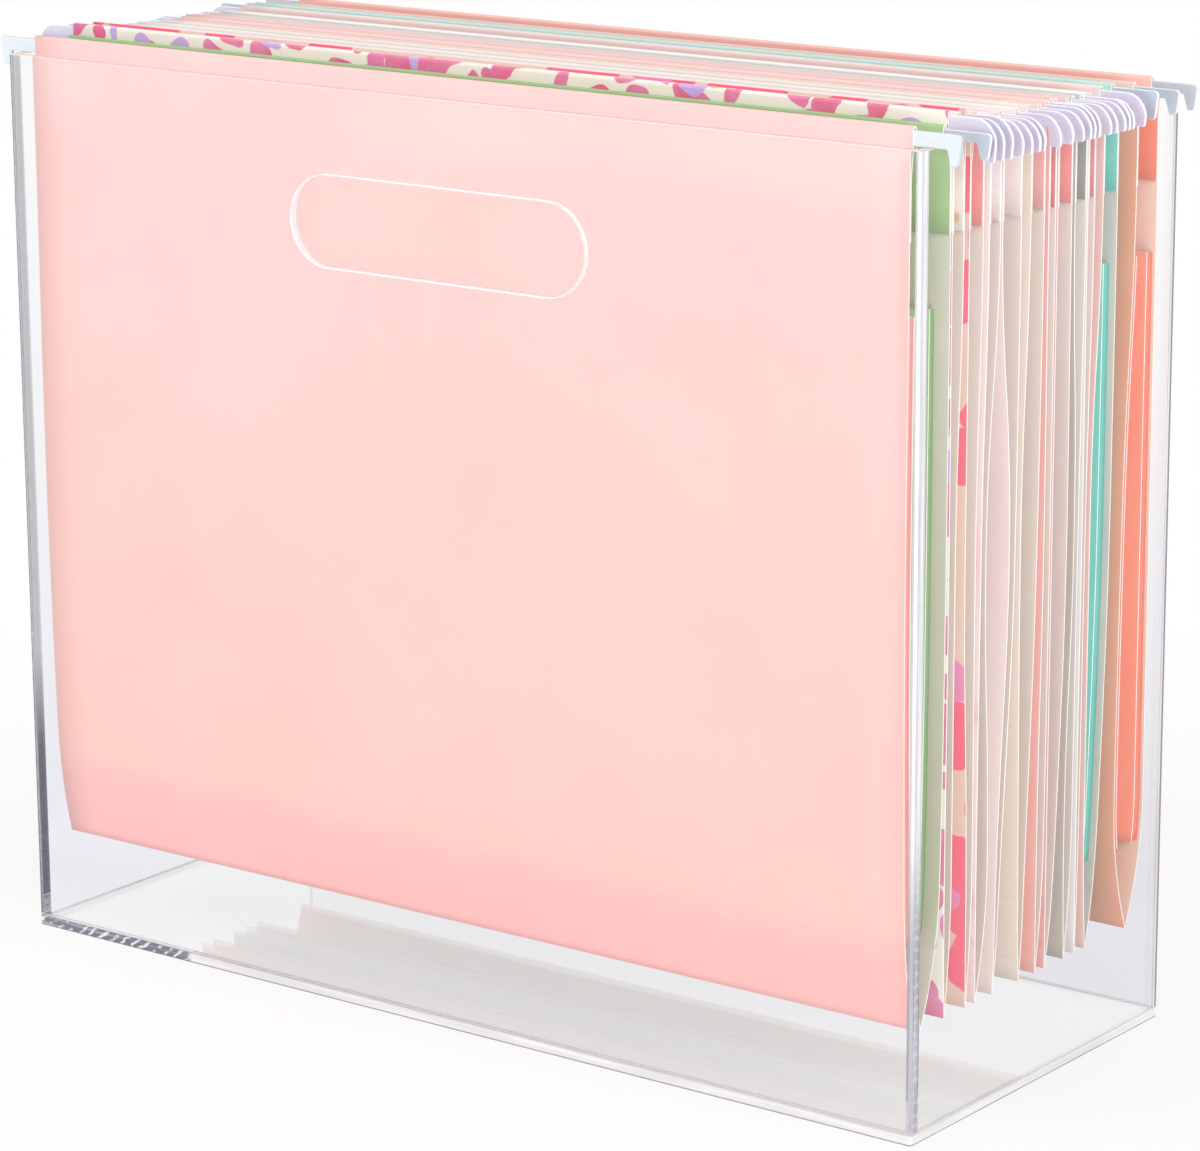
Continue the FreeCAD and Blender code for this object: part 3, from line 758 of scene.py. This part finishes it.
# For each sheet: its rounded upright edges, its clear sheet and the look of its cut edges
SHEETS = (
    ("box_base", "all", clear_base, BASE_LOOK),
    ("box_front_panel", "front", clear_front, FRONT_LOOK),
    ("box_back_panel", "back", clear_back, BACK_LOOK),
    ("box_left_wall", "none", clear_left, WALL_LOOK),
    ("box_right_wall", "none", clear, WALL_LOOK),
)
for node, corners, glass, look in SHEETS:
    piece = sheet_piece(node, corners, glass, look)
    if node.endswith("panel"):
        cut_slot(piece, node)
    settle(piece, "box", [node])


# Where the folders hang

def hang_folders():
    """The outer Y of each folder's two hems, in mm."""
    drawn = sum(row.gap + row.mouth for row in FOLDERS) + REAR_GAP
    free = BOX_DEPTH - 2 * WALL - 2 * len(FOLDERS) * HEM
    y = WALL - BOX_DEPTH / 2
    places = []
    for row in FOLDERS:
        front = y + row.gap * free / drawn
        back = front + 2 * HEM + row.mouth * free / drawn
        places.append({"front": front, "back": back})
        y = back
    return places


PLACES = hang_folders()


def blend_slope(above, below):
    """A slope between those of two chords, and none where they turn back on each other."""
    if above * below <= 0:
        return 0.0
    return 2 * above * below / (above + below)


def arc(start, tangent, end, steps):
    """Points of the arc that leaves start along tangent and ends at end, without its first point."""
    chord = end - start
    turn = math.atan2(tangent.x * chord.y - tangent.y * chord.x, tangent.dot(chord))
    points = []
    for step in range(1, steps + 1):
        share = step / steps
        if abs(turn) < 1e-5:
            points.append(start + chord * share)
            continue
        length = chord.length * math.sin(share * turn) / math.sin(turn)
        angle = math.atan2(tangent.y, tangent.x) + turn * share
        points.append(start + Vector((math.cos(angle), math.sin(angle))) * length)
    return points


def arc_pair(start, first, end, last, steps):
    """Points of two arcs, tangent where they meet, that carry one direction over into another."""
    chord = end - start
    spread = 2 * (1 - first.dot(last))
    along = chord.dot(first + last)
    if spread < 1e-9:
        reach = chord.dot(chord) / (2 * along)
    else:
        reach = (math.sqrt(along ** 2 + spread * chord.dot(chord)) - along) / spread
    meeting = (start + end + (first - last) * reach) / 2
    shared = (meeting - start).normalized()
    shared = shared * (2 * shared.dot(first)) - first
    return arc(start, first, meeting, steps) + arc(meeting, shared, end, steps)


def leaf_points(number, side, steps=9):
    """A leaf's outer face from the foot of its hem down to the fold, as (y, z) in mm."""
    row, place = FOLDERS[number - 1], PLACES[number - 1]
    belly, low = (row.front_belly, row.front_low) if side == "front" else (row.back_belly, row.back_low)
    fold = row.fold if side == "front" else place["back"] - place["front"] - row.fold - CARD
    drop = RIM - FOLD_Z
    heights = (HEM_FOOT, RIM - BELLY_SHARE * drop, RIM - LOW_SHARE * drop, FOLD_Z)
    insides = (0.0, belly, low, fold)
    chords = [(insides[n + 1] - insides[n]) / (heights[n + 1] - heights[n]) for n in range(3)]
    slopes = (0.0, blend_slope(chords[0], chords[1]), blend_slope(chords[1], chords[2]), 2 * chords[2])
    sign = INWARD[side]
    points = [Vector((place[side] + sign * insides[n], heights[n])) for n in range(4)]
    tangents = [Vector((-sign * slope, -1.0)).normalized() for slope in slopes]
    path = [points[0]]
    for n in range(3):
        path += arc_pair(points[n], tangents[n], points[n + 1], tangents[n + 1], steps)
    return path


def inside_at(path, z):
    """The y of a leaf's outer face at a height."""
    for above, below in zip(path, path[1:]):
        if below.y <= z <= above.y:
            share = (above.y - z) / max(above.y - below.y, 1e-9)
            return above.x + (below.x - above.x) * share
    return path[-1].x if z < path[-1].y else path[0].x


# The cards

# The pressed score lines above a card's fold
SCORES = (6.0, 22.5)
SCORE_WIDTH = 0.7
SCORE_DEPTH = 0.10
# Quads along a card, and steps round a hem's crown
COLUMNS = 24
CROWN_STEPS = 8
# The air between a hem's glued strip and its leaf
GLUE_GAP = 0.02
# A row of points halfway up the glued strip
HEM_MIDDLE = 246.0
# How far above the fold its two leaves can still touch
FOLD_REACH = 60.0
# Rows of points up to this far above the place where the leaves meet are left out
MEETING_CLEAR = 0.2
# How far apart the outer and inner face, and two cards, lie on the map of the unfolded sheet
FACES_APART = 400.0
CARDS_APART = 900.0
# A card's materials, by their place in its list
FRONT_PRINT, BACK_PRINT, INSIDE, CARD_EDGE = range(4)


def hem_pairs(number, side):
    """Outer and inner points of the sheet from the strip's foot over the rod and down to the leaf."""
    place = PLACES[number - 1]
    bar = hook_and_bar(number, side)[1]
    crown = RIM + bar + HEM_ARCH - ROD / 2
    sign = INWARD[side]

    def at(inside, z):
        return (place[side] + sign * inside, z)

    strip = (HEM_FOOT, HEM_MIDDLE, RIM - HEM_TAPER)
    pairs = [(at(2 * CARD, z), at(CARD + GLUE_GAP, z)) for z in strip]
    pairs += [(at(HEM, z), at(HEM - CARD, z)) for z in (RIM, crown)]
    for step in range(1, CROWN_STEPS):
        angle = math.pi * step / CROWN_STEPS
        outer = at(HEM / 2 + HEM / 2 * math.cos(angle), crown + HEM / 2 * math.sin(angle))
        inner = at(HEM / 2 + ROD / 2 * math.cos(angle), crown + ROD / 2 * math.sin(angle))
        pairs.append((outer, inner))
    pairs += [(at(0, z), at(CARD, z)) for z in (crown, RIM, RIM - HEM_TAPER)]
    pairs.append((at(0, HEM_FOOT), at(CARD - GLUE_GAP, HEM_FOOT)))
    return pairs


def leaf_pairs(number, side, path, meeting):
    """Outer and inner points of one leaf, with its score lines pressed in."""
    sign = INWARD[side]
    heights = {round(point.y, 3) for point in path[1:-1]}
    for score in SCORES:
        for offset in (-1.0, -0.5, 0.0, 0.5, 1.0):
            heights.add(FOLD_Z + score + offset * SCORE_WIDTH)
    pairs = []
    for z in sorted(heights, reverse=True):
        if z <= meeting[1] + MEETING_CLEAR:
            continue
        y = inside_at(path, z)
        dent = sum(SCORE_DEPTH * max(0.0, 1 - abs(z - FOLD_Z - score) / SCORE_WIDTH) for score in SCORES)
        pairs.append(((y + sign * dent, z), (y + sign * (CARD + dent), z)))
    pairs.append(((path[-1].x, path[-1].y), meeting))
    return pairs


def fold_meeting(front, back):
    """Where the inner faces of the two leaves meet above the fold."""
    low, high = FOLD_Z, FOLD_Z + FOLD_REACH
    for _ in range(40):
        z = (low + high) / 2
        if inside_at(back, z) - inside_at(front, z) < 2 * CARD:
            low = z
        else:
            high = z
    return ((inside_at(front, high) + inside_at(back, high)) / 2, high)


def card_piece(number):
    """One card: its outer and inner faces from hem to hem, and its cut edges."""
    front, back = leaf_points(number, "front"), leaf_points(number, "back")
    meeting = fold_meeting(front, back)
    pairs = hem_pairs(number, "front") + leaf_pairs(number, "front", front, meeting)
    turn = len(pairs) - 1
    pairs += reversed(hem_pairs(number, "back") + leaf_pairs(number, "back", back, meeting))
    length = [0.0]
    for first, second in zip(pairs, pairs[1:]):
        length.append(length[-1] + math.dist(first[0], second[0]))
    rows = len(pairs)
    across = [CARD_HALF * (2 * n / COLUMNS - 1) for n in range(COLUMNS + 1)]
    points = []
    for layer in (0, 1):
        for row in range(rows):
            y, z = pairs[row][layer]
            for x in across:
                points.append((x, y, z))
    width = COLUMNS + 1

    def index(layer, row, column):
        return layer * rows * width + row * width + column

    faces, slots, smooth, sheet = [], [], [], []

    def uv(row, column, layer):
        return ((across[column] + FACES_APART * layer) * MM, (length[row] + CARDS_APART * number) * MM)

    def put(corners, slot, is_smooth, spots):
        faces.append(corners)
        slots.append(slot)
        smooth.append(is_smooth)
        sheet.extend(spots)

    for row in range(rows - 1):
        for column in range(COLUMNS):
            a, b = (row, column), (row + 1, column)
            c, d = (row + 1, column + 1), (row, column + 1)
            outer_slot = FRONT_PRINT if row < turn else BACK_PRINT
            put([index(0, *s) for s in (a, b, c, d)], outer_slot, True, [uv(*s, 0) for s in (a, b, c, d)])
            if pairs[row][1] != pairs[row + 1][1]:
                put([index(1, *s) for s in (d, c, b, a)], INSIDE, True, [uv(*s, 1) for s in (d, c, b, a)])
        for column, flip in ((0, False), (COLUMNS, True)):
            ring = ((0, row), (1, row), (1, row + 1), (0, row + 1))
            quad = [index(*corner, column) for corner in ring]
            spots = [uv(row, column, 0), uv(row, column, 0), uv(row + 1, column, 0), uv(row + 1, column, 0)]
            if flip:
                quad.reverse()
                spots.reverse()
            if pairs[row][1] == pairs[row + 1][1]:
                keep = [n for n, corner in enumerate(quad) if corner != index(1, row + 1, column)]
                quad, spots = [quad[n] for n in keep], [spots[n] for n in keep]
            put(quad, CARD_EDGE, False, spots)
    for row, flip in ((0, False), (rows - 1, True)):
        for column in range(COLUMNS):
            ring = ((0, column), (0, column + 1), (1, column + 1), (1, column))
            quad = [index(layer, row, place) for layer, place in ring]
            spots = [uv(row, column, 0), uv(row, column + 1, 0)] * 2
            if flip:
                quad.reverse()
            put(quad, CARD_EDGE, False, spots)
    name = f"folder_{number:02d}_card"
    front_look, back_look, inside = LOOKS[number]
    materials = [
        printed(f"card_{number:02d}_front_print", *front_look),
        printed(f"card_{number:02d}_back_print", *back_look),
        bare_card(f"card_{number:02d}_inside", inside, *INSIDES.get(number, ())),
        card_edge,
    ]
    piece = new_piece(name + "_sheet", points, faces, materials, slots, smooth, sheet)
    settle(piece, f"folder_{number:02d}", [name])


card_edge = bare_card("card_cut_edge", rgb(255, 252, 245), (1.0, 1.0, 1.0))
for number in range(1, len(FOLDERS) + 1):
    card_piece(number)


# The rods

def rounded(corners, radii, steps=6):
    """A loop of 2-D corners, each rounded with its radius."""
    loop = []
    count = len(corners)
    for n, (corner, radius) in enumerate(zip(corners, radii)):
        corner = Vector(corner)
        before = Vector(corners[n - 1]) - corner
        after = Vector(corners[(n + 1) % count]) - corner
        if radius <= 0:
            loop.append(corner)
            continue
        angle = before.angle(after)
        reach = radius / math.tan(angle / 2)
        first, last = corner + before.normalized() * reach, corner + after.normalized() * reach
        bisector = (before.normalized() + after.normalized()).normalized()
        centre = corner + bisector * (radius / math.sin(angle / 2))
        start = first - centre
        turn = start.angle_signed(last - centre)
        for step in range(steps + 1):
            loop.append(centre + rotated(start, -turn * step / steps))
    return loop


def rotated(vector, angle):
    return Vector((vector.x * math.cos(angle) - vector.y * math.sin(angle),
                   vector.x * math.sin(angle) + vector.y * math.cos(angle)))


# A rod's small edges, and the inner corners of its toe and of its notch over the rim
ROD_EDGE = 0.2
TOE_INSIDE = 0.3
NOTCH_INSIDE = 0.4


def rod_piece(number, side, material):
    """One hooked strip: its outline in the XZ plane, made ROD thick."""
    place = PLACES[number - 1]
    hook, bar = hook_and_bar(number, side)
    end = BOX_LENGTH / 2 + LEG_PLAY + LEG_WIDTH
    notch = BOX_LENGTH / 2 + LEG_PLAY
    top, foot = RIM + bar, RIM - hook.leg
    half = [
        ((end - hook.shoulder_in, top), hook.shoulder_radius),
        ((end, top - hook.shoulder_down), hook.shoulder_radius),
        ((end - hook.toe, foot), hook.toe_radius),
        ((notch + hook.lip, foot), TOE_INSIDE),
        ((notch, RIM), NOTCH_INSIDE),
    ]
    corners = half + [((-x, z), radius) for (x, z), radius in reversed(half)]
    loop = rounded([corner for corner, _ in corners], [radius for _, radius in corners])
    y = place[side] + INWARD[side] * HEM / 2
    count = len(loop)
    grid = bmesh.new()
    near = [grid.verts.new((p.x * MM, (y - ROD / 2) * MM, p.y * MM)) for p in loop]
    far = [grid.verts.new((p.x * MM, (y + ROD / 2) * MM, p.y * MM)) for p in loop]
    caps = [grid.faces.new(near), grid.faces.new(far[::-1])]
    for n in range(count):
        following = (n + 1) % count
        grid.faces.new((near[following], near[n], far[n], far[following]))
    bmesh.ops.recalc_face_normals(grid, faces=grid.faces[:])
    rims = [edge for cap in caps for edge in cap.edges]
    bmesh.ops.bevel(grid, geom=rims, offset=ROD_EDGE * MM, segments=2, profile=0.5, affect="EDGES")
    for face in grid.faces:
        face.smooth = abs(face.normal.y) < 0.999
    name = f"folder_{number:02d}_{side}_rod"
    piece = piece_of(grid, name + "_strip", [material])
    settle(piece, f"folder_{number:02d}", [name])


steel = {name: coated_steel(name, *colours) for name, colours in ROD_COLOURS.items()}
for number in range(1, len(FOLDERS) + 1):
    for side in ("front", "back"):
        slot = ROD_SLOTS.get((number, side), "rod_lavender")
        rod_piece(number, side, steel[slot])


# The pockets

# How far a pocket's gussets and its foot stand in from its panel's ends, and the air that they leave to the
# panel and to the leaf
GUSSET_INSET = 0.35
FOOT_INSET = 1.0
STRIP_GAP = 0.01
# A pocket's materials, by their place in its list
PANEL, GUSSET, POCKET_EDGE = range(3)


def pocket_piece(pocket, panel, gusset, edge):
    """A panel along the leaf, two end gussets and a foot, each a closed strip of card."""
    side, sign = pocket.side, INWARD[pocket.side]
    path = leaf_points(pocket.folder, side)
    half = CARD_HALF - pocket.end_margin
    heights = sorted({POCKET_TOP, POCKET_FOOT} | {
        round(point.y, 3) for point in path if POCKET_FOOT + 1 < point.y < POCKET_TOP - 1
    }, reverse=True)
    points, faces, slots, smooth, sheet = [], [], [], [], []

    def strip(x_low, x_high, near, far, levels, slot):
        """A closed strip between two depths off the leaf and two places along X."""
        start = len(points)
        for z in levels:
            y = inside_at(path, z)
            for x, depth in ((x_low, near), (x_high, near), (x_high, far), (x_low, far)):
                points.append((x, y + sign * depth, z))
        count = len(levels)
        for n in range(count - 1):
            for k in range(4):
                following = (k + 1) % 4
                a, b = start + 4 * n + k, start + 4 * n + following
                quad = [a, a + 4, b + 4, b] if sign > 0 else [a, b, b + 4, a + 4]
                is_cut = (k in (1, 3)) == (slot == PANEL)
                faces.append(quad)
                slots.append(POCKET_EDGE if is_cut else slot)
                smooth.append(not is_cut)
        for n, flip in ((0, sign < 0), (count - 1, sign > 0)):
            ring = [start + 4 * n + k for k in range(4)]
            faces.append(ring[::-1] if flip else ring)
            slots.append(POCKET_EDGE)
            smooth.append(False)

    near, far = CARD + STRIP_GAP, pocket.depth - STRIP_GAP
    strip(-half, half, pocket.depth, pocket.depth + CARD, heights, PANEL)
    for end in (-1, 1):
        inner, outer = sorted((end * (half - CARD - GUSSET_INSET), end * (half - GUSSET_INSET)))
        strip(inner, outer, near, far, heights, GUSSET)
    strip(FOOT_INSET - half, half - FOOT_INSET, near, far, [POCKET_FOOT + CARD, POCKET_FOOT], GUSSET)
    for face in faces:
        for corner in face:
            x, y, z = points[corner]
            sheet.append((x * MM, z * MM))
    name = f"folder_{pocket.folder:02d}_{side}_pocket"
    piece = new_piece(name + "_sheet", points, faces, [panel, gusset, edge], slots, smooth, sheet)
    settle(piece, f"folder_{pocket.folder:02d}", [name])


pocket_card = {
    name: (printed(name + "_panel", plain_print, panel), printed(name + "_gusset", plain_print, gusset))
    for name, (panel, gusset) in POCKET_COLOURS.items()
}
for pocket in POCKETS:
    pocket_piece(pocket, *pocket_card[pocket.slot], card_edge)


# The stage: a white floor and world, soft lamps, and the photograph's camera

WHITE = (1.0, 1.0, 1.0, 1.0)
# How white the floor is made round the object, where this begins to rise, and where it is full
FLOOR_LEAST = 0.80
FLOOR_NEAR = 0.20
FLOOR_FAR = 0.45
# The floor lies this far under the box and reaches this far, in mm
FLOOR_DROP = 0.15
FLOOR_HALF = 6000


def floor_material():
    """A plain pale floor round the object that runs out into the white of the studio."""
    tree = Tree("floor")
    fine = tree.noise(40.0, 2.0)
    shade = tree.mix(tree.band(fine, 0.3, 0.7), (0.94, 0.94, 0.945, 1.0), (0.96, 0.96, 0.965, 1.0))
    plain = tree.add("ShaderNodeBsdfPrincipled", {
        "Base Color": shade, "Roughness": 0.9, "Specular IOR Level": 0.1,
    })
    white = tree.add("ShaderNodeEmission", {"Color": WHITE, "Strength": 1.0})
    away = tree.add("ShaderNodeVectorMath", {0: tree.place()}, operation="LENGTH").outputs["Value"]
    far = tree.math("MULTIPLY", tree.band(away, FLOOR_NEAR, FLOOR_FAR, FLOOR_LEAST, 1.0), tree.seen())
    return tree.finish(tree.add("ShaderNodeMixShader", {
        0: far, 1: plain.outputs[0], 2: white.outputs[0],
    }))


floor_corners = [
    (x * FLOOR_HALF, y * FLOOR_HALF, -FLOOR_DROP) for x, y in ((-1, -1), (1, -1), (1, 1), (-1, 1))
]
floor = new_piece("floor", floor_corners, [(0, 1, 2, 3)], [floor_material()])


def area_lamp(name, place, target, size, power):
    """A round soft lamp at a place, turned to a target."""
    lamp = bpy.data.lights.new(name, "AREA")
    lamp.shape = "DISK"
    lamp.size = size
    lamp.energy = power
    item = put_in_scene(name, lamp)
    item.location = place
    item.rotation_euler = (Vector(target) - Vector(place)).to_track_quat("-Z", "Y").to_euler()


area_lamp("key", (-1.1, -1.6, 1.9), (0.0, 0.0, 0.12), 1.3, 17.0)
area_lamp("right", (1.9, -0.3, 1.1), (0.1, 0.0, 0.12), 1.0, 17.0)
area_lamp("low", (0.3, -1.6, 0.22), (0.0, 0.0, 0.03), 0.7, 5.5)

# The world lights the object with this share of the white that is seen behind it
WORLD_LIGHT = 0.62
studio = Tree("studio", bpy.data.worlds, "ShaderNodeOutputWorld")
strength = studio.math("ADD", studio.math("MULTIPLY", studio.seen(), 1.0 - WORLD_LIGHT), WORLD_LIGHT)
background = studio.add("ShaderNodeBackground", {"Color": WHITE, "Strength": strength})
bpy.context.scene.world = studio.finish(background)

camera = put_in_scene("camera", bpy.data.cameras.new("camera"))
camera.data.sensor_width = SENSOR
camera.data.lens = FOCAL_PIXELS * SENSOR / PHOTO_WIDTH
camera.data.clip_start = 0.05
camera.data.clip_end = 50.0
camera.location = Vector(CAMERA_PLACE) * MM
camera.rotation_euler = [math.radians(angle) for angle in CAMERA_TURN]
bpy.context.scene.camera = camera

bpy.context.scene.view_settings.view_transform = "Standard"
